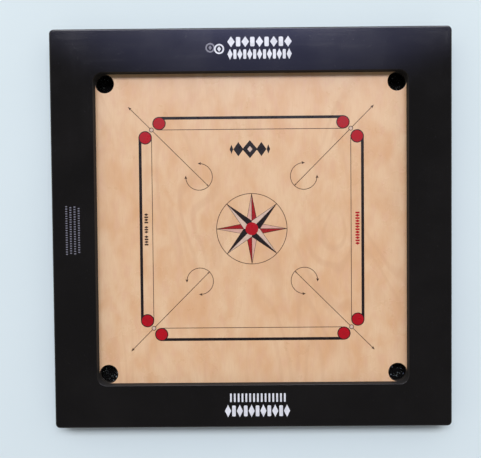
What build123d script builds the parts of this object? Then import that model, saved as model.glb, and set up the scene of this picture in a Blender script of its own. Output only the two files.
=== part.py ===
"""Tournament carrom board: a mitred hardwood frame round a plywood playing panel.

Millimetres. +Z is up, out of the playing surface, and +Y runs to the back rail. The origin is
at the middle of the board, on the plane that the frame's underside rests on.
"""

from build123d import *
import os

# --- Driving dimensions -------------------------------------------------------------------
FIELD = 740.0  # clear playing surface between the rails, each way
RAIL_WIDTH = 101.6  # 4 inch rails
RAIL_HEIGHT = 50.8  # 2 inch rails
LIP_HEIGHT = 20.0  # height of the rails above the playing surface
PANEL_THICKNESS = 12.0
PANEL_LET_IN = 15.0  # how far the rebate reaches under the lip
PANEL_CLEARANCE = 0.5  # panel edge to the rebate's wall
POCKET_DIAMETER = 44.5

FRAME_CORNER_RADIUS = 11.0  # outer corners, seen from above
TOP_OUTER_ROUND = 4.0
TOP_INNER_ROUND = 0.8
BOTTOM_ROUND = 2.0
POCKET_EDGE_ROUND = 0.6

BRACE_OFFSET = 150.0  # centre line of each brace from the middle of the board
BRACE_WIDTH = 45.0
BRACE_HEIGHT = 18.0
BRACE_LET_IN = 20.0  # how far a brace end is housed in the rail
BRACE_CHAMFER = 1.5

SPLINE_LENGTH = 64.0  # along the mitre
SPLINE_WIDTH = 36.0  # across the mitre
SPLINE_THICKNESS = 6.0
SPLINE_CENTRE = 426.0  # X and Y of its middle

FASTENER_THICKNESS = 0.9
FASTENER_HEIGHT = 12.5
FASTENER_PITCH = 6.0  # length of one fold
FASTENER_FOLDS = 5
FASTENER_SWING = 1.6  # half height of the folds
FASTENER_PLACES = (408.0, 448.0)  # X and Y on the mitre line
FASTENER_RECESS = 0.4  # driven this far below the underside

PANEL_SCREW_PITCH = 100.0
PANEL_SCREWS_PER_RAIL = 7
BRACE_SCREW_PLACES = (-260.0, -150.0, 0.0, 150.0, 260.0)
BRACE_END_SCREW_INSET = 10.0  # from the end of the brace

SCREW_HEAD_DIAMETER = 7.0
SCREW_HEAD_RIM = 0.4
SCREW_SHANK_DIAMETER = 3.5
SCREW_TIP_LENGTH = 3.0
SHORT_SCREW = 25.0
LONG_SCREW = 32.0
RECESS_WIDTH = 0.9
RECESS_SPAN = 3.8
RECESS_DEPTH = 1.6

NET_MOUTH_RADIUS = 24.6
NET_BELLY_RADIUS = 34.0
NET_NECK_HEIGHT = 14.5  # the net hangs straight down to this height
NET_SHOULDER_HEIGHT = 11.0
NET_ROUNDS = (2.0, 3.0, 5.5)  # neck, shoulder and foot
NET_FLOOR = 0.8  # underside of the slack net
NET_THICKNESS = 1.2
RIM_CORD_RADIUS = 27.0
RIM_CORD_DIAMETER = 3.0
STAPLE_WIRE = 0.6
STAPLE_WIDTH = 1.0
STAPLE_BITE = 6.0  # length of a leg in the panel
STAPLE_GAP = 0.05
STAPLES_PER_NET = 6

# --- Worked-out dimensions ----------------------------------------------------------------
OVERALL = FIELD + 2 * RAIL_WIDTH
SURFACE = RAIL_HEIGHT - LIP_HEIGHT
PANEL_UNDERSIDE = SURFACE - PANEL_THICKNESS
REBATE_SIZE = FIELD + 2 * PANEL_LET_IN
PANEL_SIZE = REBATE_SIZE - 2 * PANEL_CLEARANCE
POCKET_RADIUS = POCKET_DIAMETER / 2
POCKET_CENTRE = FIELD / 2 - POCKET_RADIUS
BRACE_LENGTH = REBATE_SIZE + 2 * BRACE_LET_IN
BRACE_UNDERSIDE = PANEL_UNDERSIDE - BRACE_HEIGHT
BRACE_END_SCREW = BRACE_LENGTH / 2 - BRACE_END_SCREW_INSET
PANEL_SCREW_LINE = FIELD / 2 + PANEL_LET_IN / 2

RAILS = {"front": 0, "right": 90, "back": 180, "left": 270}
CORNERS = {"front_left": (-1, -1), "front_right": (1, -1), "back_right": (1, 1), "back_left": (-1, 1)}

os.makedirs("parts", exist_ok=True)


def finish(piece, name):
    """Label a finished piece and write it as its own node."""
    piece.label = name
    export_step(piece, f"parts/{name}.step")


def placed(shape, *places):
    """Copies of a shape at the given locations, as one part."""
    with BuildPart() as copies:
        with Locations(*places):
            add(shape)
    return copies.part


# --- Screws -------------------------------------------------------------------------------
def screw_blank(length):
    """A countersunk screw, head down at the origin and pointing up, with no driving recess."""
    head = SCREW_HEAD_DIAMETER / 2
    shank = SCREW_SHANK_DIAMETER / 2
    with BuildPart() as blank:
        with BuildSketch(Plane.XZ):
            with BuildLine():
                Polyline(
                    (0, 0),
                    (head, 0),
                    (head, SCREW_HEAD_RIM),
                    (shank, SCREW_HEAD_RIM + head - shank),
                    (shank, length - SCREW_TIP_LENGTH),
                    (0, length),
                    close=True,
                )
            make_face()
        revolve(axis=Axis.Z)
    return blank.part


def screw(length):
    """The same screw with its cross recess."""
    with BuildPart() as driven:
        add(screw_blank(length))
        with BuildSketch():
            Rectangle(RECESS_SPAN, RECESS_WIDTH)
            Rectangle(RECESS_WIDTH, RECESS_SPAN)
        extrude(amount=RECESS_DEPTH, mode=Mode.SUBTRACT)
    return driven.part


def panel_screw_places():
    """Along each rail's lip, from the underside of the panel."""
    first = -PANEL_SCREW_PITCH * (PANEL_SCREWS_PER_RAIL - 1) / 2
    places = []
    for turn in RAILS.values():
        for number in range(PANEL_SCREWS_PER_RAIL):
            spot = Vector(first + number * PANEL_SCREW_PITCH, -PANEL_SCREW_LINE, PANEL_UNDERSIDE)
            places.append(Location(spot.rotate(Axis.Z, turn)))
    return places


def brace_screw_places():
    """Along each brace; the two braces that cross share the screw at their lap."""
    spots = set()
    for side in (-BRACE_OFFSET, BRACE_OFFSET):
        for along in BRACE_SCREW_PLACES:
            spots.add((along, side))
            spots.add((side, along))
    return [Location((x, y, BRACE_UNDERSIDE)) for x, y in sorted(spots)]


def brace_end_screw_places():
    """Two brace ends are housed in each rail."""
    places = []
    for turn in RAILS.values():
        for side in (-BRACE_OFFSET, BRACE_OFFSET):
            spot = Vector(side, -BRACE_END_SCREW, BRACE_UNDERSIDE)
            places.append(Location(spot.rotate(Axis.Z, turn)))
    return places


panel_screw_holes = placed(screw_blank(SHORT_SCREW), *panel_screw_places())
brace_screw_holes = placed(screw_blank(SHORT_SCREW), *brace_screw_places())
brace_end_screw_holes = placed(screw_blank(LONG_SCREW), *brace_end_screw_places())

finish(placed(screw(SHORT_SCREW), *panel_screw_places()), "panel_screws")
finish(placed(screw(SHORT_SCREW), *brace_screw_places()), "brace_screws")
finish(placed(screw(LONG_SCREW), *brace_end_screw_places()), "brace_end_screws")

# --- Corner joints ------------------------------------------------------------------------
with BuildPart() as spline_blank:
    with BuildSketch(Plane.XY.offset((RAIL_HEIGHT - SPLINE_THICKNESS) / 2)):
        with Locations(Location((SPLINE_CENTRE, SPLINE_CENTRE), 45)):
            Rectangle(SPLINE_LENGTH, SPLINE_WIDTH)
    extrude(amount=SPLINE_THICKNESS)

with BuildSketch() as fastener_folds:
    half_length = FASTENER_FOLDS * FASTENER_PITCH / 2
    with BuildLine():
        Polyline(
            *[
                (number * FASTENER_PITCH / 2 - half_length, FASTENER_SWING * (-1) ** number)
                for number in range(2 * FASTENER_FOLDS + 1)
            ]
        )
    trace(line_width=FASTENER_THICKNESS)

with BuildSketch() as fastener_lines:
    with Locations(*[Location((centre, centre), -45) for centre in FASTENER_PLACES]):
        add(fastener_folds.sketch)

with BuildPart() as fastener_pair:
    with BuildSketch(Plane.XY.offset(FASTENER_RECESS)):
        add(fastener_lines.sketch)
    extrude(amount=FASTENER_HEIGHT)

with BuildPart() as fastener_slots:
    with BuildSketch():
        add(fastener_lines.sketch)
    extrude(amount=FASTENER_RECESS + FASTENER_HEIGHT)

corner_turns = [Location((0, 0, 0), (0, 0, turn)) for turn in (180, 270, 0, 90)]
all_splines = placed(spline_blank.part, *corner_turns)
all_fasteners = placed(fastener_pair.part, *corner_turns)
all_fastener_slots = placed(fastener_slots.part, *corner_turns)  # open at the rails' underside

for corner, turn in zip(CORNERS, corner_turns):
    finish(placed(spline_blank.part, turn), f"corner_spline_{corner}")
finish(all_fasteners, "corrugated_fasteners")

# --- Braces -------------------------------------------------------------------------------
lap_places = [(-BRACE_OFFSET, 0), (BRACE_OFFSET, 0)]


def brace(lap_from_top):
    """A batten along X at the middle of the board, notched for the two braces that cross it."""
    notch_floor = BRACE_HEIGHT / 2 if lap_from_top else 0
    with BuildPart() as batten:
        with BuildSketch(Plane.XY.offset(BRACE_UNDERSIDE)):
            Rectangle(BRACE_LENGTH, BRACE_WIDTH)
        extrude(amount=BRACE_HEIGHT)
        chamfer(batten.faces().sort_by(Axis.Z)[0].edges().filter_by(Axis.X), BRACE_CHAMFER)
        with BuildSketch(Plane.XY.offset(BRACE_UNDERSIDE + notch_floor)):
            with Locations(*lap_places):
                Rectangle(BRACE_WIDTH, BRACE_WIDTH)
        extrude(amount=BRACE_HEIGHT / 2, mode=Mode.SUBTRACT)
    return batten.part


for name, turn, side in (("front", 0, -1), ("back", 0, 1), ("left", 90, -1), ("right", 90, 1)):
    offset = (0, side * BRACE_OFFSET, 0) if turn == 0 else (side * BRACE_OFFSET, 0, 0)
    with BuildPart() as finished_brace:
        with Locations(Location(offset, (0, 0, turn))):
            add(brace(lap_from_top=turn == 0))
        add(brace_screw_holes, mode=Mode.SUBTRACT)
        add(brace_end_screw_holes, mode=Mode.SUBTRACT)
    finish(finished_brace.part, f"brace_{name}")

with BuildPart() as brace_housings:
    with BuildSketch():
        for turn in (0, 90):
            for side in (-BRACE_OFFSET, BRACE_OFFSET):
                with Locations(Location((0, side) if turn == 0 else (side, 0), turn)):
                    Rectangle(BRACE_LENGTH, BRACE_WIDTH)
    extrude(amount=PANEL_UNDERSIDE)

# --- Frame rails --------------------------------------------------------------------------
with BuildPart() as frame_ring:
    with BuildSketch():
        RectangleRounded(OVERALL, OVERALL, FRAME_CORNER_RADIUS)
    extrude(amount=RAIL_HEIGHT)
    fillet(frame_ring.faces().sort_by(Axis.Z)[-1].edges(), TOP_OUTER_ROUND)
    fillet(frame_ring.faces().sort_by(Axis.Z)[0].edges(), BOTTOM_ROUND)
    with BuildSketch():
        RectangleRounded(FIELD, FIELD, POCKET_RADIUS)
    extrude(amount=RAIL_HEIGHT, mode=Mode.SUBTRACT)
    fillet(frame_ring.faces().sort_by(Axis.Z)[-1].inner_wires()[0].edges(), TOP_INNER_ROUND)
    with BuildSketch():
        Rectangle(REBATE_SIZE, REBATE_SIZE)
    extrude(amount=SURFACE, mode=Mode.SUBTRACT)

for name, turn in RAILS.items():
    with BuildPart() as rail:
        add(frame_ring.part)
        with BuildSketch():
            with Locations(Location((0, 0), turn)):
                Polygon((0, 0), (-OVERALL, -OVERALL), (OVERALL, -OVERALL), align=None)
        extrude(amount=RAIL_HEIGHT, mode=Mode.INTERSECT)
        add(brace_housings.part, mode=Mode.SUBTRACT)
        add(all_splines, mode=Mode.SUBTRACT)
        add(all_fastener_slots, mode=Mode.SUBTRACT)
        add(panel_screw_holes, mode=Mode.SUBTRACT)
        add(brace_end_screw_holes, mode=Mode.SUBTRACT)
    finish(rail.part, f"frame_rail_{name}")

# --- Pocket nets --------------------------------------------------------------------------
pocket_centres = {
    corner: Location((across * POCKET_CENTRE, along * POCKET_CENTRE, 0))
    for corner, (across, along) in CORNERS.items()
}

with BuildPart() as pocket_net:
    skin = NET_THICKNESS / 2
    with BuildSketch(Plane.XZ):
        with BuildLine():
            FilletPolyline(
                (NET_MOUTH_RADIUS - skin, PANEL_UNDERSIDE),
                (NET_MOUTH_RADIUS - skin, NET_NECK_HEIGHT),
                (NET_BELLY_RADIUS - skin, NET_SHOULDER_HEIGHT),
                (NET_BELLY_RADIUS - skin, NET_FLOOR + skin),
                (0, NET_FLOOR + skin),
                radius=NET_ROUNDS,
            )
        trace(line_width=NET_THICKNESS)
    revolve(axis=Axis.Z)

with BuildPart() as rim_cord:
    with BuildSketch(Plane.XZ):
        with Locations((RIM_CORD_RADIUS, PANEL_UNDERSIDE - RIM_CORD_DIAMETER / 2)):
            Circle(RIM_CORD_DIAMETER / 2)
    revolve(axis=Axis.Z)

with BuildPart() as staple_ring:
    inside = RIM_CORD_DIAMETER + 2 * STAPLE_GAP
    outside = inside + 2 * STAPLE_WIRE
    crown = PANEL_UNDERSIDE - inside
    with BuildSketch(Plane.XZ.offset(-STAPLE_WIDTH / 2)):
        with Locations((RIM_CORD_RADIUS, crown - STAPLE_WIRE)):
            Rectangle(outside, inside + STAPLE_WIRE + STAPLE_BITE, align=(Align.CENTER, Align.MIN))
        with Locations((RIM_CORD_RADIUS, crown)):
            Rectangle(inside, inside + STAPLE_BITE, align=(Align.CENTER, Align.MIN), mode=Mode.SUBTRACT)
    one_staple = extrude(amount=STAPLE_WIDTH, mode=Mode.PRIVATE)
    with PolarLocations(0, STAPLES_PER_NET, start_angle=15):
        add(one_staple)

for corner, centre in pocket_centres.items():
    finish(placed(pocket_net.part, centre), f"pocket_net_{corner}")
    finish(placed(rim_cord.part, centre), f"net_rim_cord_{corner}")
all_staples = placed(staple_ring.part, *pocket_centres.values())
finish(all_staples, "net_staples")

# --- Playing panel ------------------------------------------------------------------------
with BuildPart() as playing_panel:
    with BuildSketch(Plane.XY.offset(PANEL_UNDERSIDE)):
        Rectangle(PANEL_SIZE, PANEL_SIZE)
        with Locations(*pocket_centres.values()):
            Circle(POCKET_RADIUS, mode=Mode.SUBTRACT)
    extrude(amount=PANEL_THICKNESS)
    top = playing_panel.faces().sort_by(Axis.Z)[-1]
    fillet(top.edges().filter_by(GeomType.CIRCLE), POCKET_EDGE_ROUND)
    add(panel_screw_holes, mode=Mode.SUBTRACT)
    add(brace_screw_holes, mode=Mode.SUBTRACT)
    add(all_staples, mode=Mode.SUBTRACT)
finish(playing_panel.part, "playing_panel")
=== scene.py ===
"""Looks of the carrom board: lacquer, veneer, printed marks, netting, light and camera.

Metres, in the frame's own axes: +Z up out of the playing surface, +Y towards the back rail.
"""

import math
import random

import bpy
import numpy as np
from mathutils import Matrix, Vector


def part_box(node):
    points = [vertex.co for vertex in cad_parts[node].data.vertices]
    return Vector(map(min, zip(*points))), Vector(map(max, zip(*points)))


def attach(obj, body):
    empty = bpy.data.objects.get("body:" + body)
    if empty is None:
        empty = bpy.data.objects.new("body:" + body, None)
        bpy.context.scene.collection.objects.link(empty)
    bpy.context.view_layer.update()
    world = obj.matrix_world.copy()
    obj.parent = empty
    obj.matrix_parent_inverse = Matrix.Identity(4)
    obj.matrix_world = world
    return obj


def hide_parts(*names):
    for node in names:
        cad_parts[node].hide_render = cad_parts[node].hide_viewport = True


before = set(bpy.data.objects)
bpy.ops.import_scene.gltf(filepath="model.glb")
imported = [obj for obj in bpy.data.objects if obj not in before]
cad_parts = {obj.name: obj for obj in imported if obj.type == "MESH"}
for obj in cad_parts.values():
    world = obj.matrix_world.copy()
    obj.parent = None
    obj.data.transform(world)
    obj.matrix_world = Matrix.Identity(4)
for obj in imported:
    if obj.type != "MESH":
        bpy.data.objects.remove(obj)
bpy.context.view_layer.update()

# --- Sizes worked out from the frame ------------------------------------------------------
PANEL_LOW, PANEL_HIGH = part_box("playing_panel")
SURFACE = PANEL_HIGH.z
UNDERSIDE = PANEL_LOW.z
FRAME_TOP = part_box("frame_rail_front")[1].z
FRAME_EDGE = -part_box("frame_rail_front")[0].y
POCKET_RADIUS = 0.02225
RIM_LOW, RIM_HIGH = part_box("net_rim_cord_back_right")
POCKET_CENTRE = RIM_LOW.lerp(RIM_HIGH, 0.5).x
FIELD = POCKET_CENTRE + POCKET_RADIUS  # half the clear playing surface
CORNERS = {"front_left": (-1, -1), "front_right": (1, -1), "back_right": (1, 1), "back_left": (-1, 1)}

# --- Sizes of the printed marks -----------------------------------------------------------
INK_FILM = 0.00008
LINE = 0.0015  # thin lines
BASE_LINE = 0.0068  # the thick outer base lines
BASE_CIRCLE = 0.0159  # radius of a base circle
BASE_DISC = 0.0146  # radius of its red filling
BASE_OVERLAP = 0.002  # how far a base line runs past its circles' centres
BASE_OUTER = 0.2685  # middle of the board to the outer edge of the thick base line
BASE_HALF = 0.235  # half a base line's length, circles included
ARROW_OUTER = 0.290  # X and Y of the arrow's tip near the pocket
ARROW_ARC_CENTRE = 0.125
ARROW_ARC_RADIUS = 0.03175
ARC_HEAD = (0.0082, 0.0072)  # length and width of the arrowheads at the arc's ends
TIP_HEAD = (0.0090, 0.0066)
FOOT_HEAD = (0.0060, 0.0040)
ARC_HEAD_AHEAD = 0.003  # how far an arrowhead's point runs past the end of its line
TIP_HEAD_AHEAD = 0.004
FOOT_HEAD_AHEAD = 0.0006
EYELET = 0.2375  # X and Y of the small ring between two base circles
EYELET_RADIUS = 0.0056
CENTRE_RING = 0.085
CENTRE_DISC = 0.0153
STAR_TIP = 0.0838  # radius at the points
STAR_WAIST = 0.0190  # radius between them

# --- Sizes of the netting -----------------------------------------------------------------
NET_COLUMNS = 24
NET_ROWS = 15
NET_BAR = 0.0060  # knot to knot
NET_CORD = 0.00080  # radius
NET_KNOT = 0.00120
NET_MOUTH = 0.0262  # radius
NET_REACH = 0.0330  # furthest from the pocket's centre
NET_BELLY = 0.12  # share by which the bag widens half-way down, before it tapers
NET_TAPER = 3.2  # a higher number closes the bag lower down
NET_WOBBLE = 0.0011  # most that a knot's radius is off
NET_SKEW = 30  # a knot's angle is off by its wobble times this
NET_LEAST_DROP = 0.3 * NET_BAR  # from one row of knots down to the next
NET_HANG = 0.001  # first row of knots below the rim cord's middle
NET_HEADROOM = 0.012  # a cord's middle inside a pocket, at least, below the playing surface
NET_BELOW_PANEL = 2.4 * NET_CORD  # a cord's middle, at least, below the panel
NET_CLEARANCE = 0.0011  # under the cord at a simulated point, at least; bends and knots reach lower
HITCH_CORD = 0.00042  # radius of the cord that ties the net to its rim
HITCH_RADIUS = 0.00155
HITCH_SHIFT = 0.0006  # each turn's distance from the knot, along the rim
RIM_RADIUS, RIM_HEIGHT = 0.0270, 0.0171
RIM_STRANDS = 3
RIM_STRAND = 0.00064  # radius
RIM_SPREAD = RIM_STRAND * 1.12  # strand's middle to the cord's middle
RIM_LAY = 0.0075  # length of one turn of the strands
WHIP_TURNS = 7
WHIP_SIDES = 12  # points in one turn
WHIP_CORD = 0.00032  # radius
WHIP_PITCH = 0.00062  # turn to turn
WHIP_OUT, WHIP_UP = 0.00150, 0.00135  # rim cord's middle to the whipping's, sideways and upwards
TAIL_CORD = 0.00062  # radius
TAIL_STEPS = 6
TAIL_START = 0.085  # angle from the whipping's middle to where a tail starts
TAIL_SWEEP = 0.23  # angle that it runs on for
TAIL_OUT, TAIL_FLARE = 0.0012, 0.0030  # outside the rim cord's middle at its start, and added by its end
TAIL_LOW, TAIL_DROP = 0.0010, 0.0052  # below the rim cord's middle at its start, and added by its end
TAIL_WOBBLE = 0.0002

# --- The nets' settling -------------------------------------------------------------------
SETTLE_STEPS = 170
SETTLE_ROUNDS = 10  # rounds of pulling the cords back to length, in each step
SETTLE_KEPT = 0.90  # share of its speed that a point keeps
SETTLE_SINK = 0.00022  # gravity's share of one step
SETTLE_FASTEST = 0.0016  # longest move in one step
SETTLE_RISE = 0.62  # share of the steps in which the floor comes up to its place
PULL_IN, PULL_OUT = 0.5, 0.22  # how strongly a stretched cord pulls in, and a short one out
PULL_OVER = 1.5  # a point's average pull is multiplied by this
PUSH_SHARE = 0.35  # share of the overlap that each of two points mends
CORD_SPACING = 2.3 * NET_CORD  # closer points are pushed apart


# --- Shader helpers -----------------------------------------------------------------------
class Nodes:
    """A short way to write a node tree."""

    def __init__(self, tree):
        self.tree = tree

    def add(self, kind, **values):
        node = self.tree.nodes.new("ShaderNode" + kind)
        for key, value in values.items():
            setattr(node, key, value)
        return node

    def link(self, source, target):
        self.tree.links.new(source, target)

    def value(self, target, source):
        """Sets a socket to a number or colour, or links it."""
        if isinstance(source, bpy.types.NodeSocket):
            self.link(source, target)
        else:
            target.default_value = source

    def math(self, operation, a, b=0.0):
        node = self.add("Math", operation=operation)
        for socket, source in zip(node.inputs, (a, b)):
            self.value(socket, source)
        return node.outputs[0]

    def mix(self, factor, a, b, blend="MIX"):
        node = self.add("Mix", data_type="RGBA", blend_type=blend)
        self.value(node.inputs["Factor"], factor)
        self.value(node.inputs[6], a)
        self.value(node.inputs[7], b)
        return node.outputs[2]

    def ramp(self, source, low, high, to_low=0.0, to_high=1.0):
        """Maps low..high smoothly to to_low..to_high and holds the ends."""
        node = self.add("MapRange", interpolation_type="SMOOTHSTEP")
        for socket, item in zip(node.inputs, (source, low, high, to_low, to_high)):
            self.value(socket, item)
        return node.outputs[0]

    def place(self, scale, turn=0.0, shift=(0.0, 0.0, 0.0)):
        """Object coordinates, turned about Z, scaled along each axis and shifted."""
        where = self.add("TexCoord").outputs["Object"]
        spun = self.add("VectorRotate", rotation_type="Z_AXIS")
        self.link(where, spun.inputs["Vector"])
        spun.inputs["Angle"].default_value = turn
        node = self.add("Mapping")
        self.link(spun.outputs[0], node.inputs["Vector"])
        node.inputs["Scale"].default_value = scale
        node.inputs["Location"].default_value = shift
        return node.outputs[0]

    def noise(self, vector, scale=1.0, detail=4.0, rough=0.55, distortion=0.0):
        node = self.add("TexNoise")
        self.link(vector, node.inputs["Vector"])
        node.inputs["Scale"].default_value = scale
        node.inputs["Detail"].default_value = detail
        node.inputs["Roughness"].default_value = rough
        node.inputs["Distortion"].default_value = distortion
        return node.outputs["Fac"]

    def axes(self, source):
        node = self.add("SeparateXYZ")
        self.link(source, node.inputs[0])
        return node.outputs

    def bump(self, height, distance, strength=1.0, after=None):
        node = self.add("Bump")
        node.inputs["Strength"].default_value = strength
        node.inputs["Distance"].default_value = distance
        self.link(height, node.inputs["Height"])
        if after is not None:
            self.link(after, node.inputs["Normal"])
        return node.outputs[0]


def material(name):
    """A new material with its node helper and its Principled shader."""
    made = bpy.data.materials.new(name)
    made.use_nodes = True
    return made, Nodes(made.node_tree), made.node_tree.nodes["Principled BSDF"]


def wood_tones(n, turn, tones, patch=(9.0, 2.2, 9.0), streak=(330.0, 7.0, 330.0), depth=0.5):
    """Veneer or timber colour with its grain along the turned Y axis, and the grain's own height."""
    broad = n.noise(n.place(patch, turn), 1.0, 3.0, 0.5, 0.6)
    finer_patch = (patch[0] * 2.3, patch[1] * 2.1, patch[2] * 2.3)
    second = n.noise(n.place(finer_patch, turn, (3.1, 1.7, 0.4)), 1.0, 4.0)
    fine = n.noise(n.place(streak, turn), 1.0, 5.0, 0.6, 0.4)
    finer_streak = (streak[0] * 3.2, streak[1] * 5.0, streak[2] * 3.2)
    pores = n.noise(n.place(finer_streak, turn), 1.0, 2.0, 0.5)
    colour = n.mix(n.ramp(broad, 0.34, 0.66), tones[0], tones[1])
    colour = n.mix(n.ramp(second, 0.42, 0.68, 0.0, 0.75), colour, tones[2])
    colour = n.mix(n.ramp(fine, 0.35, 0.75, 0.0, depth), colour, tones[3])
    colour = n.mix(n.ramp(pores, 0.63, 0.74, 0.0, depth * 0.9), colour, tones[4])
    return colour, n.math("ADD", fine, n.math("MULTIPLY", pores, 0.7))


# --- Materials ----------------------------------------------------------------------------
PLY = 0.0024  # two plies of the panel
BIRCH_PALE = (0.735, 0.505, 0.295, 1)
BIRCH_WARM = (0.712, 0.453, 0.250, 1)
BIRCH_ORANGE = (0.665, 0.382, 0.192, 1)
BIRCH_PINK = (0.695, 0.422, 0.258, 1)
BIRCH_CREAM = (0.768, 0.545, 0.328, 1)
BIRCH_LINE = (0.600, 0.355, 0.195, 1)
BIRCH_PORE = (0.420, 0.225, 0.125, 1)
RAW_VENEER = (
    (0.560, 0.370, 0.235, 1),
    (0.630, 0.430, 0.270, 1),
    (0.500, 0.310, 0.190, 1),
    (0.430, 0.255, 0.150, 1),
    (0.280, 0.150, 0.085, 1),
)
STAINED_PLY = ((0.020, 0.015, 0.010, 1), (0.011, 0.009, 0.007, 1))
STAINED_FIBRE = (0.10, 0.055, 0.030, 1)
MATT = (0.80, 0.80, 0.80, 1)  # roughness of bare wood
LACQUER = ((0.0060, 0.0056, 0.0055, 1), (0.0080, 0.0074, 0.0072, 1))
LACQUER_SPECK = (0.05, 0.05, 0.052, 1)
LACQUER_SCUFF = (0.085, 0.055, 0.035, 1)
BELOW_STAIN = (0.013, 0.012, 0.012, 1)
BELOW_DUST = (0.032, 0.028, 0.025, 1)
GLUE_LINE = (0.0020, 0.0018, 0.0016, 1)


def black_lacquer(name, turn):
    """Gloss black lacquer over hardwood whose grain runs along the rail; dull below and inside."""
    made, n, shader = material(name)
    where = n.axes(n.add("TexCoord").outputs["Object"])
    facing = n.axes(n.add("NewGeometry").outputs["True Normal"])[2]
    underneath = n.ramp(facing, -0.9, -0.5, 1.0, 0.0)
    furthest = n.math("MAXIMUM", n.math("ABSOLUTE", where[0]), n.math("ABSOLUTE", where[1]))
    inside = n.ramp(furthest, FIELD + 0.010, FIELD + 0.011, 1.0, 0.0)
    inner_lip = n.math("MULTIPLY", inside, n.ramp(facing, 0.25, 0.85, 1.0, 0.0))
    haze = n.noise(n.place((7.0, 7.0, 7.0)), 1.0, 5.0, 0.6)
    smear = n.noise(n.place((90.0, 6.0, 90.0), turn), 1.0, 3.0, 0.5)
    specks = n.ramp(n.noise(n.place((420.0, 420.0, 420.0)), 1.0, 1.0), 0.70, 0.78)
    gloss = n.math("ADD", n.ramp(haze, 0.3, 0.75, 0.070, 0.120), n.ramp(smear, 0.45, 0.8, 0.0, 0.025))
    gloss = n.math("ADD", gloss, n.math("MULTIPLY", specks, 0.10))
    dull = n.math("MAXIMUM", n.math("MULTIPLY", underneath, 0.34), n.math("MULTIPLY", inner_lip, 0.75))
    n.value(shader.inputs["Roughness"], n.math("ADD", gloss, dull))
    ground = n.mix(n.ramp(haze, 0.35, 0.7), *LACQUER)
    ground = n.mix(n.math("MULTIPLY", specks, 0.22), ground, LACQUER_SPECK)
    scuffed = n.ramp(n.noise(n.place((34.0, 34.0, 34.0)), 1.0, 6.0, 0.7), 0.60, 0.78)
    low_edge = n.ramp(where[2], 0.0010, 0.0030, 1.0, 0.0)
    scuff = n.math("MULTIPLY", n.math("MULTIPLY", scuffed, low_edge), 0.65)
    ground = n.mix(scuff, ground, LACQUER_SCUFF)
    dust = n.noise(n.place((160.0, 22.0, 160.0), turn), 1.0, 4.0)
    below = n.mix(n.ramp(dust, 0.4, 0.8, 0.0, 0.5), BELOW_STAIN, BELOW_DUST)
    from_mitre = n.math("SUBTRACT", n.math("ABSOLUTE", where[0]), n.math("ABSOLUTE", where[1]))
    mitre = n.ramp(n.math("ABSOLUTE", from_mitre), 0.0002, 0.0005, 0.8, 0.0)
    below = n.mix(mitre, below, GLUE_LINE)
    n.value(shader.inputs["Base Color"], n.mix(underneath, ground, below))
    peel = n.noise(n.place((260.0, 260.0, 260.0)), 1.0, 2.0, 0.4)
    grain = n.noise(n.place((300.0, 5.0, 300.0), turn), 1.0, 4.0, 0.6)
    waves = n.bump(n.noise(n.place((26.0, 5.0, 26.0), turn), 1.0, 1.0), 0.00020, 0.22)
    relief = n.bump(n.math("ADD", n.math("MULTIPLY", peel, 0.4), grain), 0.000018, 0.6, waves)
    n.link(relief, shader.inputs["Normal"])
    return made


def birch_face(n):
    """Rotary-cut birch veneer: flowing growth lines, soft blotches, fibres and short pores."""
    swirl = n.noise(n.place((4.2, 1.25, 1.0), 0.0, (0.31, 0.74, 0.0)), 1.0, 2.0, 0.45, 0.55)
    line = n.math("SINE", n.math("MULTIPLY", swirl, 118.0))
    shown = n.ramp(n.noise(n.place((3.4, 2.2, 1.0), 0.0, (5.2, 2.6, 0.0)), 1.0, 2.0), 0.40, 0.62)
    growth = n.math("MULTIPLY", n.ramp(line, 0.05, 1.0), shown)
    cloud = n.noise(n.place((8.0, 4.6, 1.0), 0.0, (1.4, 0.2, 0.0)), 1.0, 4.0, 0.55, 0.5)
    blotch = n.noise(n.place((22.0, 13.0, 1.0)), 1.0, 4.0, 0.5, 0.25)
    flame = n.noise(n.place((60.0, 24.0, 1.0), 0.0, (2.0, 7.0, 0.0)), 1.0, 3.0, 0.5, 0.2)
    fibre = n.noise(n.place((760.0, 26.0, 1.0)), 1.0, 4.0, 0.6)
    pores = n.ramp(n.noise(n.place((1500.0, 210.0, 1.0)), 1.0, 2.0, 0.5), 0.66, 0.76)
    colour = n.mix(n.ramp(cloud, 0.33, 0.67), BIRCH_PALE, BIRCH_WARM)
    colour = n.mix(n.ramp(blotch, 0.44, 0.70, 0.0, 0.74), colour, BIRCH_ORANGE)
    colour = n.mix(n.ramp(flame, 0.46, 0.70, 0.0, 0.50), colour, BIRCH_PINK)
    colour = n.mix(n.ramp(blotch, 0.50, 0.30, 0.0, 0.60), colour, BIRCH_CREAM)
    colour = n.mix(n.math("MULTIPLY", growth, 0.34), colour, BIRCH_LINE)
    colour = n.mix(n.ramp(fibre, 0.42, 0.74, 0.0, 0.30), colour, BIRCH_LINE)
    colour = n.mix(n.math("MULTIPLY", pores, 0.30), colour, BIRCH_PORE)
    return colour, n.math("ADD", fibre, n.math("MULTIPLY", pores, -0.8))


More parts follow.
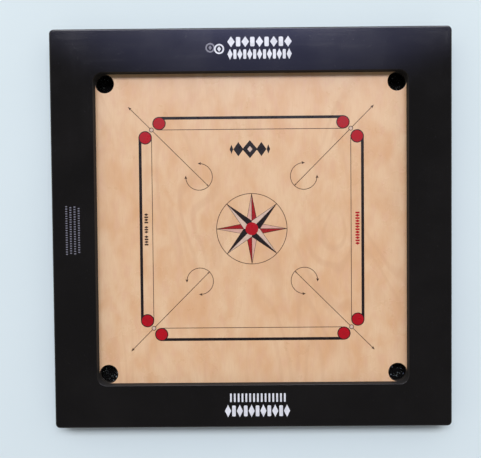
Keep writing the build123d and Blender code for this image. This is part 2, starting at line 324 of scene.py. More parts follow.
def panel_plywood():
    """Birch plywood: satin-lacquered face veneer, black-stained pocket walls, raw veneer below."""
    made, n, shader = material("birch_plywood")
    facing = n.axes(n.add("NewGeometry").outputs["True Normal"])[2]
    face_up = n.ramp(facing, 0.60, 0.92)
    face_down = n.ramp(facing, -0.8, -0.45, 1.0, 0.0)
    face, face_height = birch_face(n)
    back, back_height = wood_tones(
        n, math.pi / 2, RAW_VENEER, patch=(5.0, 1.6, 5.0), streak=(210.0, 6.0, 210.0), depth=0.7
    )
    height = n.axes(n.add("TexCoord").outputs["Object"])[2]
    ply = n.math("FRACT", n.math("MULTIPLY", height, 1 / PLY))
    layer = n.ramp(n.math("PINGPONG", ply, 0.5), 0.20, 0.30)
    fibres = n.noise(n.place((240.0, 240.0, 1400.0)), 1.0, 3.0)
    edge = n.mix(layer, *STAINED_PLY)
    edge = n.mix(n.ramp(fibres, 0.55, 0.80, 0.0, 0.35), edge, STAINED_FIBRE)
    colour = n.mix(face_up, edge, face)
    colour = n.mix(face_down, colour, back)
    n.value(shader.inputs["Base Color"], colour)
    satin = n.ramp(n.noise(n.place((12.0, 12.0, 12.0)), 1.0, 4.0), 0.3, 0.7, 0.26, 0.33)
    n.value(shader.inputs["Roughness"], n.mix(face_up, MATT, satin))
    relief = n.bump(face_height, 0.00002, 0.3)
    coarse = n.bump(n.math("MULTIPLY", back_height, face_down), 0.00012, 0.6, relief)
    n.link(coarse, shader.inputs["Normal"])
    return made


def ink(name, colour, worn):
    """Screen-printed ink under the satin lacquer, with a little of the ground showing through."""
    made, n, shader = material(name)
    thin = n.noise(n.place((420.0, 46.0, 420.0)), 1.0, 4.0, 0.6)
    cloud = n.noise(n.place((70.0, 70.0, 70.0)), 1.0, 3.0)
    shade = n.mix(n.ramp(cloud, 0.3, 0.7), colour, tuple(0.82 * c for c in colour[:3]) + (1,))
    n.value(shader.inputs["Base Color"], n.mix(n.ramp(thin, 0.60, 0.82, 0.0, 0.35), shade, worn))
    n.value(shader.inputs["Roughness"], n.ramp(cloud, 0.3, 0.7, 0.26, 0.33))
    shader.inputs["Specular IOR Level"].default_value = 0.35
    n.link(n.bump(thin, 0.00002, 0.3), shader.inputs["Normal"])
    return made


def timber(name, turn, tones):
    """Planed, unfinished wood."""
    made, n, shader = material(name)
    colour, height = wood_tones(n, turn, tones, (26.0, 1.3, 26.0), (420.0, 5.0, 420.0), 0.6)
    rings = n.noise(n.place((120.0, 0.9, 120.0), turn), 1.0, 2.0, 0.4, 1.2)
    colour = n.mix(n.ramp(rings, 0.50, 0.62, 0.0, 0.5), colour, tones[3])
    n.value(shader.inputs["Base Color"], colour)
    n.value(shader.inputs["Roughness"], n.ramp(height, 0.4, 1.2, 0.65, 0.80))
    n.link(n.bump(height, 0.00010, 0.5), shader.inputs["Normal"])
    return made


def metal(name, tone, rough):
    """Plated steel with a clouded, finely scratched surface."""
    made, n, shader = material(name)
    cloud = n.noise(n.place((340.0, 340.0, 340.0)), 1.0, 4.0, 0.6)
    scratch = n.noise(n.place((2600.0, 260.0, 900.0), 0.6), 1.0, 2.0)
    dark = tuple(0.62 * c for c in tone[:3]) + (1,)
    n.value(shader.inputs["Base Color"], n.mix(n.ramp(cloud, 0.35, 0.75), tone, dark))
    n.value(shader.inputs["Roughness"], n.ramp(cloud, 0.3, 0.7, rough, rough + 0.18))
    shader.inputs["Metallic"].default_value = 1.0
    n.link(n.bump(n.math("ADD", cloud, scratch), 0.00004, 0.4), shader.inputs["Normal"])
    return made


def twine(name, tone):
    """Laid black cord: matt, with a bump of fibres and a little paler lint."""
    made, n, shader = material(name)
    fibre = n.noise(n.place((2400.0, 2400.0, 2400.0)), 1.0, 3.0, 0.6)
    lint = n.ramp(n.noise(n.place((700.0, 700.0, 700.0)), 1.0, 4.0, 0.7), 0.58, 0.8)
    pale = tuple(3.0 * c for c in tone[:3]) + (1,)
    n.value(shader.inputs["Base Color"], n.mix(n.math("MULTIPLY", lint, 0.6), tone, pale))
    n.value(shader.inputs["Roughness"], n.ramp(fibre, 0.3, 0.7, 0.60, 0.85))
    shader.inputs["Specular IOR Level"].default_value = 0.06
    n.link(n.bump(fibre, 0.00012, 0.7), shader.inputs["Normal"])
    return made


PINE = (
    (0.600, 0.400, 0.215, 1),
    (0.680, 0.480, 0.270, 1),
    (0.560, 0.340, 0.170, 1),
    (0.420, 0.230, 0.105, 1),
    (0.300, 0.150, 0.065, 1),
)
WOOD_SHOWING = (0.50, 0.30, 0.19, 1)
BLACK_INK = ink("black_ink", (0.0150, 0.0105, 0.0110, 1), (0.07, 0.035, 0.022, 1))
THIN_INK = ink("thin_line_ink", (0.0600, 0.0300, 0.0170, 1), (0.22, 0.12, 0.070, 1))
RED_INK = ink("red_ink", (0.430, 0.0060, 0.0140, 1), (0.44, 0.10, 0.08, 1))
STAR_RED_INK = ink("star_red_ink", (0.330, 0.0120, 0.0150, 1), (0.34, 0.09, 0.07, 1))
PALE_INK = ink("pale_ink", (0.655, 0.480, 0.365, 1), WOOD_SHOWING)
PINK_INK = ink("pink_ink", (0.670, 0.395, 0.300, 1), WOOD_SHOWING)
WHITE_INK = ink("white_ink", (0.740, 0.760, 0.780, 1), (0.35, 0.35, 0.36, 1))
CORD = twine("net_twine", (0.0050, 0.0049, 0.0046, 1))
GREY_INK = ink("grey_ink", (0.190, 0.190, 0.225, 1), (0.04, 0.04, 0.045, 1))


# --- Flat printed marks -------------------------------------------------------------------
def spot(centre, radius, angle):
    """The point at an angle on a circle."""
    return (centre[0] + radius * math.cos(angle), centre[1] + radius * math.sin(angle))


def disc(centre, radius, sides=72):
    """A filled circle."""
    return ([spot(centre, radius, 2 * math.pi * i / sides) for i in range(sides)], None)


def ring(centre, radius, width, sides=96):
    """A round line; radius is to its outer edge."""
    turns = [2 * math.pi * i / sides for i in range(sides)]
    outer = [spot(centre, radius, t) for t in turns]
    inner = [spot(centre, radius - width, t) for t in turns]
    return (outer, inner)


def arc(centre, radius, width, start, sweep, sides=60):
    """A round line that stops short of a circle; radius is to its middle."""
    turns = [start + sweep * i / sides for i in range(sides + 1)]
    outer = [spot(centre, radius + width / 2, t) for t in turns]
    inner = [spot(centre, radius - width / 2, t) for t in reversed(turns)]
    return (outer + inner, None)


def stroke(start, end, width):
    """A straight line."""
    along = Vector(end) - Vector(start)
    side = Vector((-along.y, along.x)).normalized() * (width / 2)
    a, b = Vector(start), Vector(end)
    return ([tuple(p) for p in (a + side, a - side, b - side, b + side)], None)


def dart(tip, direction, length, width):
    """A filled arrowhead."""
    ahead = Vector(direction).normalized()
    side = Vector((-ahead.y, ahead.x)) * (width / 2)
    tip = Vector(tip)
    tail = tip - ahead * length
    return ([tuple(p) for p in (tip, tail + side, tail + ahead * (length * 0.22), tail - side)], None)


def lozenge(centre, across, along):
    """A diamond, across wide and along tall."""
    x, y = centre
    return ([(x + across / 2, y), (x, y + along / 2), (x - across / 2, y), (x, y - along / 2)], None)


def bar(centre, across, along):
    """A rectangle with clipped corners."""
    x, y = centre
    cut = 0.18 * min(across, along)
    w, h = across / 2, along / 2
    back = [(w, h - cut), (w - cut, h), (cut - w, h), (-w, h - cut)]
    front = [(-w, cut - h), (cut - w, -h), (w - cut, -h), (w, cut - h)]
    return ([(x + dx, y + dy) for dx, dy in back + front], None)


def turned(shape, angle):
    """A mark turned about the middle of the board."""
    spin = Matrix.Rotation(angle, 2)
    return tuple(loop and [tuple(spin @ Vector(p)) for p in loop] for loop in shape)


def film(name, shapes, level, coat, rise=INK_FILM):
    """One printed piece: closed flat shapes, from half an ink film below the level to rise above it."""
    points, faces = [], []
    for outer, inner in shapes:
        loops = []
        for loop in (outer, inner):
            if loop is None:
                continue
            for z in (level - INK_FILM / 2, level + rise):
                loops.append(range(len(points), len(points) + len(loop)))
                points.extend((x, y, z) for x, y in loop)
        count = len(outer)
        around = [(i, (i + 1) % count) for i in range(count)]
        low, high = loops[0], loops[1]
        faces.extend((low[i], low[j], high[j], high[i]) for i, j in around)
        if inner is None:
            faces.append(tuple(high))
            faces.append(tuple(reversed(low)))
            continue
        low_in, high_in = loops[2], loops[3]
        faces.extend((high_in[i], high_in[j], low_in[j], low_in[i]) for i, j in around)
        faces.extend((high[i], high[j], high_in[j], high_in[i]) for i, j in around)
        faces.extend((low_in[i], low_in[j], low[j], low[i]) for i, j in around)
    mesh = bpy.data.meshes.new(name)
    mesh.from_pydata(points, [], faces)
    mesh.validate()
    piece(name, mesh, coat)


def piece(name, mesh, coat):
    """Makes a Blender piece that rides on the board."""
    made = bpy.data.objects.new(name, mesh)
    bpy.context.scene.collection.objects.link(made)
    mesh.materials.append(coat)
    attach(made, "root")
    return made


def base_marks():
    """Two base lines and two base circles along each side of the field."""
    circle_line = BASE_OUTER - BASE_CIRCLE  # middle of the board to the circles' centres
    circle_along = BASE_HALF - BASE_CIRCLE
    thin_line = BASE_OUTER - 2 * BASE_CIRCLE + LINE / 2
    thick, thin, rings, discs = [], [], [], []
    for quarter in range(4):
        angle = quarter * math.pi / 2
        y = -(BASE_OUTER - BASE_LINE / 2)
        reach = circle_along + BASE_OVERLAP
        thick.append(turned(stroke((-reach, y), (reach, y), BASE_LINE), angle))
        thin.append(turned(stroke((-circle_along, -thin_line), (circle_along, -thin_line), LINE), angle))
        for side in (-1, 1):
            centre = (side * circle_along, -circle_line)
            rings.append(turned(ring(centre, BASE_CIRCLE, LINE * 1.4), angle))
            discs.append(turned(disc(centre, BASE_DISC), angle))
    film("base_lines_thick", thick, SURFACE, BLACK_INK)
    film("base_lines_thin", thin, SURFACE, THIN_INK, INK_FILM * 0.9)
    film("base_circle_rims", rings, SURFACE, BLACK_INK, INK_FILM * 1.3)
    film("base_circle_discs", discs, SURFACE, RED_INK, INK_FILM * 1.1)


def arrows():
    """Four arrows along the diagonals, each with its three-quarter circle and eyelet."""
    lines, heads, eyelets, fills = [], [], [], []
    diagonal = math.pi / 4
    for quarter in range(4):
        angle = quarter * math.pi / 2
        centre = (ARROW_ARC_CENTRE, ARROW_ARC_CENTRE)
        foot = spot(centre, ARROW_ARC_RADIUS, diagonal + math.pi)
        eyelet = (EYELET, EYELET)
        near = spot(eyelet, EYELET_RADIUS, diagonal + math.pi)
        far = spot(eyelet, EYELET_RADIUS, diagonal)
        tip = (ARROW_OUTER, ARROW_OUTER)
        lines.append(turned(stroke(foot, near, LINE), angle))
        lines.append(turned(stroke(far, tip, LINE), angle))
        start = diagonal + math.pi / 4
        sweep = 1.5 * math.pi
        lines.append(turned(arc(centre, ARROW_ARC_RADIUS, LINE, start, sweep), angle))
        for turn, way in ((start, -1), (start + sweep, 1)):
            ahead = (-way * math.sin(turn), way * math.cos(turn))
            end = Vector(spot(centre, ARROW_ARC_RADIUS, turn)) + Vector(ahead) * ARC_HEAD_AHEAD
            heads.append(turned(dart(end, ahead, *ARC_HEAD), angle))
        tip_end = spot(tip, TIP_HEAD_AHEAD, diagonal)
        heads.append(turned(dart(tip_end, (1, 1), *TIP_HEAD), angle))
        foot_end = spot(foot, FOOT_HEAD_AHEAD, diagonal + math.pi)
        heads.append(turned(dart(foot_end, (-1, -1), *FOOT_HEAD), angle))
        eyelets.append(turned(ring(eyelet, EYELET_RADIUS, LINE), angle))
        fills.append(turned(disc(eyelet, EYELET_RADIUS - LINE / 2, 32), angle))
    film("arrow_lines", lines, SURFACE, THIN_INK, INK_FILM * 0.8)
    film("arrow_heads", heads, SURFACE, THIN_INK, INK_FILM * 1.2)
    film("arrow_eyelet_rims", eyelets, SURFACE, THIN_INK, INK_FILM * 1.1)
    film("arrow_eyelet_fills", fills, SURFACE, PALE_INK, INK_FILM * 0.6)


def star(first_tip, name, full_coat, blank_coat, rise):
    """A four-pointed star; each point is filled on its clockwise half, paler on the other, and outlined."""
    filled, blank, outline = [], [], []
    for quarter in range(4):
        turn = first_tip + quarter * math.pi / 2
        tip = spot((0, 0), STAR_TIP, turn)
        clockwise = spot((0, 0), STAR_WAIST, turn - math.pi / 4)
        other = spot((0, 0), STAR_WAIST, turn + math.pi / 4)
        filled.append(([(0, 0), clockwise, tip], None))
        blank.append(([(0, 0), tip, other], None))
        outline.append(stroke(tip, other, LINE * 0.60))
        outline.append(stroke(tip, clockwise, LINE * 0.85))
        outline.append(stroke((0, 0), tip, LINE * 0.75))
    film(f"star_{name}_blank", blank, SURFACE, blank_coat, rise)
    film(f"star_{name}_filled", filled, SURFACE, full_coat, rise + INK_FILM * 0.15)
    film(f"star_{name}_outline", outline, SURFACE, THIN_INK, rise + INK_FILM * 0.3)


def centre_marks():
    """The centre ring, its eight-pointed star and the red disc."""
    film("centre_ring", [ring((0, 0), CENTRE_RING, LINE, 160)], SURFACE, THIN_INK)
    star(0.0, "red", STAR_RED_INK, PINK_INK, INK_FILM * 0.5)
    star(math.pi / 4, "black", BLACK_INK, PALE_INK, INK_FILM)
    film("centre_disc", [disc((0, 0), CENTRE_DISC)], SURFACE, RED_INK, INK_FILM * 1.6)


def ornament_row(middle, length, height, count, thin=False):
    """A plain border centred on middle, along X: thin bars, or lozenges and bars by turns."""
    pitch = length / count
    shapes = []
    for number in range(count):
        centre = (middle[0] + (number - (count - 1) / 2) * pitch, middle[1])
        if thin:
            shapes.append(bar(centre, pitch * 0.46, height))
        elif number % 2:
            shapes.append(bar(centre, pitch * 0.62, height))
        else:
            shapes.append(lozenge(centre, pitch * 1.05, height * 1.15))
    return shapes


def roundel(centre, radius, across, along):
    """A ring with a lozenge in it."""
    return [ring(centre, radius, 0.0036), lozenge(centre, across, along)]


def rail_ornaments():
    """Borders on the back, front and left rails."""
    back = ornament_row((0.022, 0.438), 0.150, 0.022, 9)
    back += ornament_row((0.022, 0.409), 0.150, 0.022, 13)
    back += roundel((-0.0725, 0.4215), 0.0118, 0.009, 0.013)
    film("back_rail_border", back, FRAME_TOP, WHITE_INK, INK_FILM * 0.6)
    grey = roundel((-0.0935, 0.4245), 0.0112, 0.008, 0.011)
    film("back_rail_roundel", grey, FRAME_TOP, GREY_INK, INK_FILM * 0.5)
    front = ornament_row((0.010, -0.432), 0.154, 0.026, 11)
    front += ornament_row((0.011, -0.4005), 0.137, 0.0205, 15, thin=True)
    film("front_rail_border", front, FRAME_TOP, WHITE_INK, INK_FILM * 0.6)
    left = []
    for row, length in enumerate((0.118, 0.113, 0.116, 0.109)):
        middle = (0.0, -0.4368 + row * 0.0097)
        dashes = ornament_row(middle, length, 0.0046, int(length / 0.0056), thin=True)
        left += [turned(shape, -math.pi / 2) for shape in dashes]
    film("left_rail_dashes", left, FRAME_TOP, GREY_INK, INK_FILM * 0.5)


def field_ornaments():
    """Borders between the base lines at the left and right, and a row of lozenges at the back."""
    band = BASE_OUTER - BASE_CIRCLE
    dark = []
    for middle, length, count in ((-0.0265, 0.025, 4), (0.0, 0.017, 3), (0.0265, 0.025, 4)):
        dark += ornament_row((middle, -band), length, 0.0090, count)
    red = ornament_row((0.0, -band), 0.080, 0.0100, 12)
    left = [turned(shape, -math.pi / 2) for shape in dark]
    right = [turned(shape, math.pi / 2) for shape in red]
    film("left_band_border", left, SURFACE, THIN_INK)
    film("right_band_border", right, SURFACE, RED_INK)
    x, y = -0.003, 0.190  # middle of the row of lozenges
    crest = [lozenge((x, y), 0.036, 0.043)]
    for side in (-1, 1):
        crest.append(lozenge((x + side * 0.0275, y), 0.024, 0.034))
        crest.append(lozenge((x + side * 0.0440, y), 0.0085, 0.022))
    eye = [lozenge((x, y), 0.012, 0.015)]
    film("back_field_ornament", crest, SURFACE, BLACK_INK)
    film("back_field_ornament_eye", eye, SURFACE, PALE_INK, INK_FILM * 1.3)


# --- Netting ------------------------------------------------------------------------------
def net_knots(seed):
    """Knots and half-way points of a hanging net bag, and the short lengths of cord between them."""
    draw = random.Random(seed)
    places, bars, halves = [], [], []
    depth = 0.0
    for row in range(NET_ROWS):
        part = row / (NET_ROWS - 1)
        radius = NET_MOUTH * (1.0 + NET_BELLY * math.sin(math.pi * part))
        radius *= math.sqrt(max(1.0 - part**NET_TAPER, 0.05))
        for column in range(NET_COLUMNS):
            turn = 2 * math.pi * (column + 0.5 * (row % 2)) / NET_COLUMNS
            wobble = 0.0 if row == 0 else draw.uniform(-NET_WOBBLE, NET_WOBBLE)
            x, y = spot((0, 0), radius + wobble, turn + wobble * NET_SKEW)
            places.append((x, y, RIM_HEIGHT - NET_HANG - depth))
        half_width = math.pi * radius / NET_COLUMNS
        depth += math.sqrt(max(NET_BAR**2 - half_width**2, NET_LEAST_DROP**2))
    places.append((0.0, 0.0, RIM_HEIGHT - 0.002 - depth))
    closing = len(places) - 1
    for row in range(NET_ROWS - 1):
        for column in range(NET_COLUMNS):
            here = row * NET_COLUMNS + column
            below = (row + 1) * NET_COLUMNS
            other = (column - 1 if row % 2 == 0 else column + 1) % NET_COLUMNS
            bars.append((here, below + column))
            bars.append((here, below + other))
    for column in range(NET_COLUMNS):
        bars.append(((NET_ROWS - 1) * NET_COLUMNS + column, closing))
    for start, end in bars:
        middle = tuple((a + b) / 2 for a, b in zip(places[start], places[end]))
        halves.append((start, len(places), end))
        places.append(middle)
    return np.array(places), halves, closing


def pull_to_length(here, pairs, rest, share):
    """Moves the ends of each short cord towards its length, more readily in than out."""
    gap = here[pairs[:, 1]] - here[pairs[:, 0]]
    length = np.linalg.norm(gap, axis=1) + 1e-9
    slack = (length - rest) / length
    pull = gap * (np.where(slack > 0, PULL_IN, PULL_OUT) * slack)[:, None]
    push = np.zeros_like(here)
    np.add.at(push, pairs[:, 0], pull)
    np.add.at(push, pairs[:, 1], -pull)
    return here + push / share * PULL_OVER


def push_apart(here, upper):
    """Parts points that are closer than two cords can be."""
    gap = here[upper[0]] - here[upper[1]]
    near = np.nonzero((gap**2).sum(axis=1) < CORD_SPACING**2)[0]
    apart = gap[near]
    length = np.linalg.norm(apart, axis=1) + 1e-9
    shove = apart * ((CORD_SPACING - length) / length * PUSH_SHARE)[:, None]
    np.add.at(here, upper[0][near], shove)
    np.add.at(here, upper[1][near], -shove)


def settle(places, halves, closing):
    """Lets the bag sink on to the floor that rises under it, and lie there in its own folds."""
    pairs = np.array([(a, m) for a, m, _ in halves] + [(m, b) for _, m, b in halves])
    rest = np.full(len(pairs), NET_BAR / 2)
    closers = np.array([closing in half for half in halves])
    rest[np.concatenate([closers, closers])] = NET_BAR / 3
    here = places.copy()
    before = places.copy()
    held = slice(0, NET_COLUMNS)
    lowest = NET_CLEARANCE + NET_CORD
    deepest = places[:, 2].min()
    share = np.zeros((len(here), 1))
    np.add.at(share, pairs[:, 0], 1.0)
    np.add.at(share, pairs[:, 1], 1.0)
    upper = np.triu_indices(len(here), 1)
    for step in range(SETTLE_STEPS):
        moved = (here - before) * SETTLE_KEPT
        moved[:, 2] -= SETTLE_SINK
        before = here.copy()
        here = here + np.clip(moved, -SETTLE_FASTEST, SETTLE_FASTEST)
        ground = min(lowest, deepest + (lowest - deepest) * step / (SETTLE_RISE * SETTLE_STEPS))
        for _ in range(SETTLE_ROUNDS):
            here = pull_to_length(here, pairs, rest, share)
            here[held] = places[held]
            here[:, 2] = np.maximum(here[:, 2], ground)
        if step % 2 == 0:
            push_apart(here, upper)
        out = np.hypot(here[:, 0], here[:, 1])
        here[:, :2] *= (np.minimum(out, NET_REACH) / np.maximum(out, 1e-9))[:, None]
        under_panel = out > POCKET_RADIUS - 0.001
        roof = np.where(under_panel, UNDERSIDE - NET_BELOW_PANEL, SURFACE - NET_HEADROOM)
        here[:, 2] = np.clip(here[:, 2], ground, roof)
        here[held] = places[held]
    return here


def tube(points, radius, sides=6, closed=False):
    """Vertices and faces of a round cord along a list of points."""
    count = len(points)
    verts, faces = [], []
    side = None
    for number, point in enumerate(points):
        ahead = points[(number + 1) % count] if closed else points[min(number + 1, count - 1)]
        behind = points[number - 1] if closed else points[max(number - 1, 0)]
        way = (ahead - behind).normalized()
        if side is None:
            side = way.orthogonal().normalized()
        side = (side - way * side.dot(way)).normalized()
        up = way.cross(side)
        for corner in range(sides):
            turn = 2 * math.pi * corner / sides
            verts.append(point + side * (radius * math.cos(turn)) + up * (radius * math.sin(turn)))
    for ring_start in range(count if closed else count - 1):
        a, b = ring_start * sides, ((ring_start + 1) % count) * sides
        for corner in range(sides):
            beside = (corner + 1) % sides
            faces.append((a + corner, a + beside, b + beside, b + corner))
    if not closed:
        faces.append(tuple(reversed(range(sides))))
        faces.append(tuple(range((count - 1) * sides, count * sides)))
    return verts, faces


def ring_points(centre, axis, radius, count):
    """Points of a circle round an axis."""
    side = axis.orthogonal().normalized()
    up = axis.normalized().cross(side)
    turns = [2 * math.pi * i / count for i in range(count)]
    return [centre + side * (radius * math.cos(t)) + up * (radius * math.sin(t)) for t in turns]


class Bundle:
    """Collects tubes into one mesh."""

    def __init__(self):
        self.verts, self.faces = [], []

    def add(self, part):
        start = len(self.verts)
        self.verts.extend(part[0])
        self.faces.extend(tuple(start + i for i in face) for face in part[1])

    def build(self, name, centre, coat, node):
        """Makes the piece about a centre, in place of a CAD node."""
        mesh = bpy.data.meshes.new(name)
        mesh.from_pydata([tuple(v + centre) for v in self.verts], [], self.faces)
        mesh.polygons.foreach_set("use_smooth", [True] * len(mesh.polygons))
        made = piece(name, mesh, coat)
        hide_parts(node)


def bar_points(start, middle, end):
    """A knot-to-knot length of cord that bends smoothly through its half-way point."""
    turns = (0.0, 0.25, 0.5, 0.75, 1.0)
    pull = middle * 2 - (start + end) / 2
    return [start * (1 - t) ** 2 + pull * (2 * t * (1 - t)) + end * t**2 for t in turns]


def hitch(knot):
    """Two turns of thin cord that tie a knot of the net's first row to the rim."""
    tangent = Vector((-knot.y, knot.x, 0)).normalized()
    outward = Vector((knot.x, knot.y, 0)).normalized()
    middle = outward * RIM_RADIUS + Vector((0, 0, RIM_HEIGHT))
    middles = [middle + tangent * shift for shift in (-HITCH_SHIFT, HITCH_SHIFT)]
    return [tube(ring_points(at, tangent, HITCH_RADIUS, 12), HITCH_CORD, 5, True) for at in middles]


def knot_loops(knot, ways):
    """A knot: two leaning loops across the cords that leave it."""
    axis = ways[0].normalized()
    for way in ways[1:]:
        axis = axis + way.normalized() * (1 if way.dot(axis) > 0 else -1)
    axis = axis.normalized()
    cross = axis.orthogonal().normalized()
    loops = []
    for lean, shift in ((0.35, -0.32), (-0.35, 0.32)):
        tilt = (axis + cross * lean).normalized()
        middle = knot + axis * (shift * NET_KNOT)
        loops.append(tube(ring_points(middle, tilt, NET_KNOT * 0.62, 8), NET_CORD * 0.86, 5, True))
    return loops


def netting(corner, number):
    """One pocket's knotted bag, slack over whatever the board stands on."""
    places, halves, closing = net_knots(40 + number)
    places = settle(places, halves, closing)
    spots = [Vector(p) for p in places]
    bundle = Bundle()
    knots = {}
    for start, middle, end in halves:
        bundle.add(tube(bar_points(spots[start], spots[middle], spots[end]), NET_CORD, 5))
        for knot in (start, end):
            knots.setdefault(knot, []).append(spots[middle] - spots[knot])
    for knot, ways in knots.items():
        for loop in hitch(spots[knot]) if knot < NET_COLUMNS else knot_loops(spots[knot], ways):
            bundle.add(loop)
    centre = Vector((CORNERS[corner][0] * POCKET_CENTRE, CORNERS[corner][1] * POCKET_CENTRE, 0))
    bundle.build(f"netting_{corner}", centre, CORD, f"pocket_net_{corner}")


def round_rim(radius, around, height):
    """A point at a distance and an angle from the middle of a net, and a height."""
    return Vector((radius * math.cos(around), radius * math.sin(around), height))


def laid_strand(strand, lays):
    """One strand of the rim cord, twisted round the cord's middle."""
    count = lays * 9
    points = []
    for step in range(count):
        around = 2 * math.pi * step / count
        twist = around * lays + 2 * math.pi * strand / RIM_STRANDS
        out = RIM_RADIUS + RIM_SPREAD * math.cos(twist)
        points.append(round_rim(out, around, RIM_HEIGHT + RIM_SPREAD * math.sin(twist)))
    return tube(points, RIM_STRAND, 6, True)


def whipping(seat):
    """Close turns of thin cord that hold the rim cord's ends together."""
    points = []
    for step in range(WHIP_TURNS * WHIP_SIDES + 1):
        twist = 2 * math.pi * step / WHIP_SIDES
        around = seat + (step / WHIP_SIDES - WHIP_TURNS / 2) * WHIP_PITCH / RIM_RADIUS
        out = RIM_RADIUS + WHIP_OUT * math.cos(twist)
        points.append(round_rim(out, around, RIM_HEIGHT + WHIP_UP * math.sin(twist)))
    return tube(points, WHIP_CORD, 5)


def loose_tail(seat, side, draw):
    """The short end of the rim cord that hangs out of the whipping."""
    points = []
    for step in range(TAIL_STEPS + 1):
        part = step / TAIL_STEPS
        out = RIM_RADIUS + TAIL_OUT + TAIL_FLARE * part + draw.uniform(-TAIL_WOBBLE, TAIL_WOBBLE)
        around = seat + side * TAIL_START + side * TAIL_SWEEP * part
        points.append(round_rim(out, around, RIM_HEIGHT - TAIL_LOW - TAIL_DROP * part**1.5))
    return tube(points, TAIL_CORD, 6)


def rim_twine(corner, number):
    """The laid cord round a net's mouth, with its ends whipped together."""
    bundle = Bundle()
    lays = round(2 * math.pi * RIM_RADIUS / RIM_LAY)
    for strand in range(RIM_STRANDS):
        bundle.add(laid_strand(strand, lays))
    across, along = CORNERS[corner]
    seat = math.atan2(along, across) + 0.26
    bundle.add(whipping(seat))
    draw = random.Random(70 + number)
    for side in (-1, 1):
        bundle.add(loose_tail(seat, side, draw))
    centre = Vector((across * POCKET_CENTRE, along * POCKET_CENTRE, 0))
    bundle.build(f"rim_twine_{corner}", centre, CORD, f"net_rim_cord_{corner}")


# --- Materials of the CAD nodes -----------------------------------------------------------
def dress(nodes, coat):
    """Gives CAD nodes their material."""
    for name in nodes:
        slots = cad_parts[name].data.materials
        slots.clear()
        slots.append(coat)


dress(("frame_rail_front", "frame_rail_back"), black_lacquer("lacquer_across", math.pi / 2))
dress(("frame_rail_left", "frame_rail_right"), black_lacquer("lacquer_along", 0.0))
dress(("playing_panel",), panel_plywood())
dress(("brace_front", "brace_back"), timber("pine_across", math.pi / 2, PINE))
dress(("brace_left", "brace_right"), timber("pine_along", 0.0, PINE))
dress([f"corner_spline_{corner}" for corner in CORNERS], timber("spline_plywood", math.pi / 4, PINE))
dress(("panel_screws", "brace_screws", "brace_end_screws"), metal("zinc", (0.66, 0.62, 0.52, 1), 0.30))
dress(("corrugated_fasteners", "net_staples"), metal("galvanised", (0.52, 0.53, 0.54, 1), 0.38))

base_marks()
arrows()
centre_marks()
rail_ornaments()
field_ornaments()
for number, corner in enumerate(CORNERS):
    netting(corner, number)
    rim_twine(corner, number)


# --- Floor, light and camera --------------------------------------------------------------
FLOOR_DROP = 0.0004
FLOOR_SIZE = 30.0
FLOOR_INSET = 0.004  # the opening stops this far inside the outline
FLOOR_DISC = 0.037  # opaque under each pocket, so that nothing shines up through the nets
FLOOR_TONES = ((0.655, 0.754, 0.742, 1), (0.668, 0.767, 0.755, 1))
SKY_OVERHEAD = (0.075, 0.072, 0.070, 1)
SKY_RING = (1.02, 0.98, 0.93, 1)
SKY_GLOW = (1.0, 1.08, 2.30, 1)
KEY_PLACE = (0.0, 6.04, 10.37)
KEY_SIZE = (10.5, 2.9)
KEY_POWER = 1045.0
KEY_TONE = (0.99, 0.985, 0.985)
CAMERA_PLACE = (0.018, 0.034, 1.306)
CAMERA_TILT = (math.radians(-1.354), math.radians(0.257), math.radians(-0.497))
CAMERA_LENS = 39.9
CAMERA_SHIFT = (-0.034, -0.004)


def floor():
    """A pale floor, clear from below and open under the board, so that its underside is seen and lit."""
    made, n, shader = material("studio_floor")
    mottle = n.noise(n.place((3.0, 3.0, 3.0)), 1.0, 4.0)
    tone = n.mix(n.ramp(mottle, 0.3, 0.7), *FLOOR_TONES)
    n.value(shader.inputs["Base Color"], tone)
    shader.inputs["Roughness"].default_value = 0.95
    shader.inputs["Specular IOR Level"].default_value = 0.0
    where = n.axes(n.add("TexCoord").outputs["Object"])
    across, along = (n.math("ABSOLUTE", where[axis]) for axis in (0, 1))
    under = n.math("LESS_THAN", n.math("MAXIMUM", across, along), FRAME_EDGE - FLOOR_INSET)
    from_pocket = [n.math("SUBTRACT", side, POCKET_CENTRE) for side in (across, along)]
    squares = n.math("ADD", *(n.math("MULTIPLY", side, side) for side in from_pocket))
    outside_disc = n.math("GREATER_THAN", squares, FLOOR_DISC**2)
    open_here = n.math("MULTIPLY", under, outside_disc)
    clear = n.add("BsdfTransparent")
    both = n.add("MixShader")
    seen_from_below = n.add("NewGeometry").outputs["Backfacing"]
    n.link(n.math("MAXIMUM", seen_from_below, open_here), both.inputs[0])
    n.link(shader.outputs[0], both.inputs[1])
    n.link(clear.outputs[0], both.inputs[2])
    n.link(both.outputs[0], made.node_tree.nodes["Material Output"].inputs["Surface"])
    half = FLOOR_SIZE / 2
    mesh = bpy.data.meshes.new("floor")
    outline = ((-half, -half), (half, -half), (half, half), (-half, half))
    mesh.from_pydata([(x, y, -FLOOR_DROP) for x, y in outline], [], [(0, 1, 2, 3)])
    mesh.materials.append(made)
    ground = bpy.data.objects.new("floor", mesh)
    bpy.context.scene.collection.objects.link(ground)


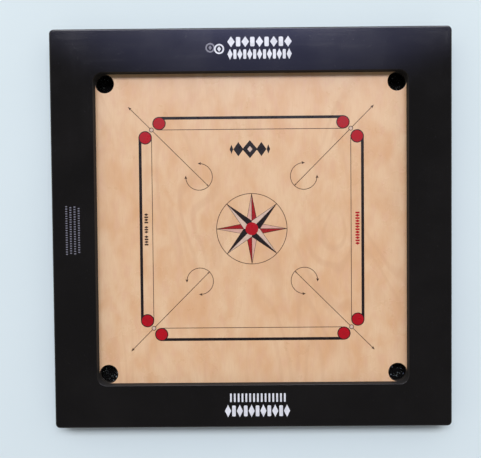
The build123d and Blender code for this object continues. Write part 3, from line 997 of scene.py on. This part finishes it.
def sky():
    """Soft surround: dark overhead, brighter ring lower down, bluish above the back rail."""
    world = bpy.data.worlds.new("studio")
    bpy.context.scene.world = world
    world.use_nodes = True
    n = Nodes(world.node_tree)
    back = world.node_tree.nodes["Background"]
    way = n.axes(n.add("TexCoord").outputs["Generated"])
    ring_level = n.ramp(way[2], 0.62, 0.88, 1.0, 0.0)
    behind = n.ramp(way[1], -0.5, 0.8, 0.34, 1.0)
    colour = n.mix(n.math("MULTIPLY", ring_level, behind), SKY_OVERHEAD, SKY_RING)
    off_axis = n.math("MULTIPLY", way[0], 0.55)
    off_level = n.math("SUBTRACT", way[1], 0.50)
    squares = n.math("ADD", n.math("MULTIPLY", off_axis, off_axis), n.math("MULTIPLY", off_level, off_level))
    reach = n.math("SQRT", squares)
    rise = n.math("ADD", n.ramp(reach, 0.31, 0.22, 0.0, 0.46), n.ramp(reach, 0.215, 0.13, 0.0, 1.30))
    glow = n.mix(rise, (0, 0, 0, 1), SKY_GLOW)
    n.value(back.inputs["Color"], n.mix(1.0, colour, glow, "ADD"))
    back.inputs["Strength"].default_value = 1.0


def key_light():
    """One large soft light, high above the back, aimed at the middle of the board."""
    data = bpy.data.lights.new("key", "AREA")
    data.shape = "RECTANGLE"
    data.size, data.size_y = KEY_SIZE
    data.energy = KEY_POWER
    data.color = KEY_TONE
    made = bpy.data.objects.new("key", data)
    made.location = KEY_PLACE
    aim = Vector((0.0, 0.0, 0.0)) - Vector(KEY_PLACE)
    made.rotation_euler = aim.to_track_quat("-Z", "Y").to_euler()
    bpy.context.scene.collection.objects.link(made)


def camera():
    """Almost straight above the board."""
    data = bpy.data.cameras.new("camera")
    data.lens = CAMERA_LENS
    data.sensor_fit = "HORIZONTAL"
    data.shift_x, data.shift_y = CAMERA_SHIFT
    made = bpy.data.objects.new("camera", data)
    made.location = CAMERA_PLACE
    made.rotation_euler = CAMERA_TILT
    bpy.context.scene.collection.objects.link(made)
    bpy.context.scene.camera = made


floor()
sky()
key_light()
camera()
bpy.context.scene.view_settings.view_transform = "Standard"
